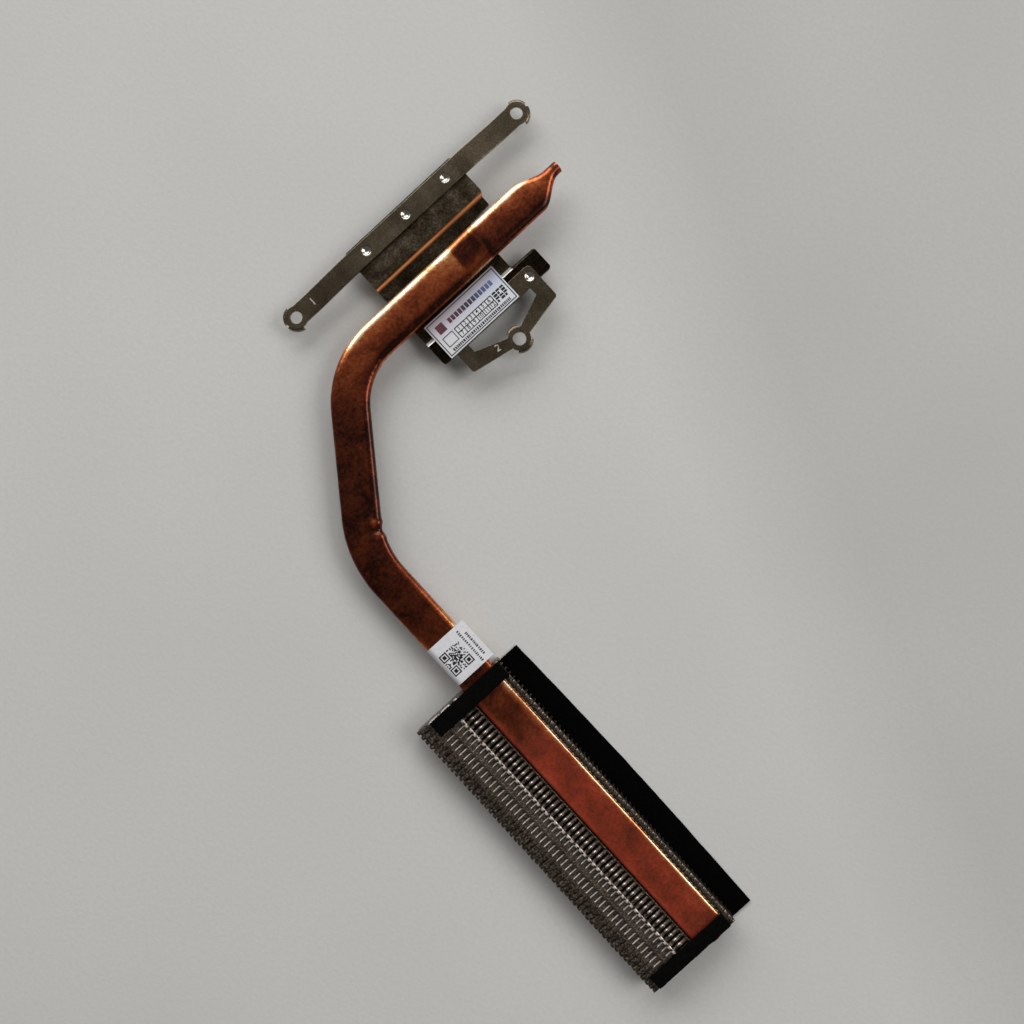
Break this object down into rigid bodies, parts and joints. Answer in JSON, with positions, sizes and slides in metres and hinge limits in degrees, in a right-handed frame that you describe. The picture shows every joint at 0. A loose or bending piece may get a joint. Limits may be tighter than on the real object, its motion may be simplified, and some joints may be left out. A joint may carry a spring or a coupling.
{
  "type": "laptop heatsink",
  "caption": "Flat copper heat pipe that carries heat from a spring-mounted processor plate to a stack of thin fins with foam seals.",
  "frame": {"origin": "middle of the copper contact block's underside, where it meets the processor", "axes": "+Z away from the processor, +X along the pipe's first run towards its sealed free end, +Y towards the long spring arm; the fin stack runs along -Y"},
  "size_m": [0.099, 0.1485, 0.0059],
  "materials": {
    "pipe_copper": "oxidised copper tube",
    "plate_nickel": "dull dark nickel plating with flux stains",
    "contact_copper": "lapped copper",
    "spring_steel": "dull spring steel",
    "rivet_steel": "bright pressed steel",
    "fin_aluminium": "stamped sheet dulled by dust",
    "foam": "black foam tape",
    "seal": "matt black sealing strip",
    "label_paper": "white paper label with a code field",
    "plate_label_paper": "white paper label with printed cells"
  },
  "bodies": {
    "root": {"heatpipe": "pipe_copper", "base_plate": "plate_nickel", "contact_block": "contact_copper", "long_arm": "spring_steel", "v_bracket": "spring_steel", "arm_rivet_1": "rivet_steel", "arm_rivet_2": "rivet_steel", "arm_rivet_3": "rivet_steel", "bracket_rivet_1": "rivet_steel", "bracket_rivet_2": "rivet_steel", "bracket_rivet_3": "rivet_steel", "fin_stack": "fin_aluminium", "near_foam": "foam", "far_foam": "foam", "sealing_strip": "seal", "pipe_label": "label_paper", "base_label": "plate_label_paper"}
  },
  "joints": []
}
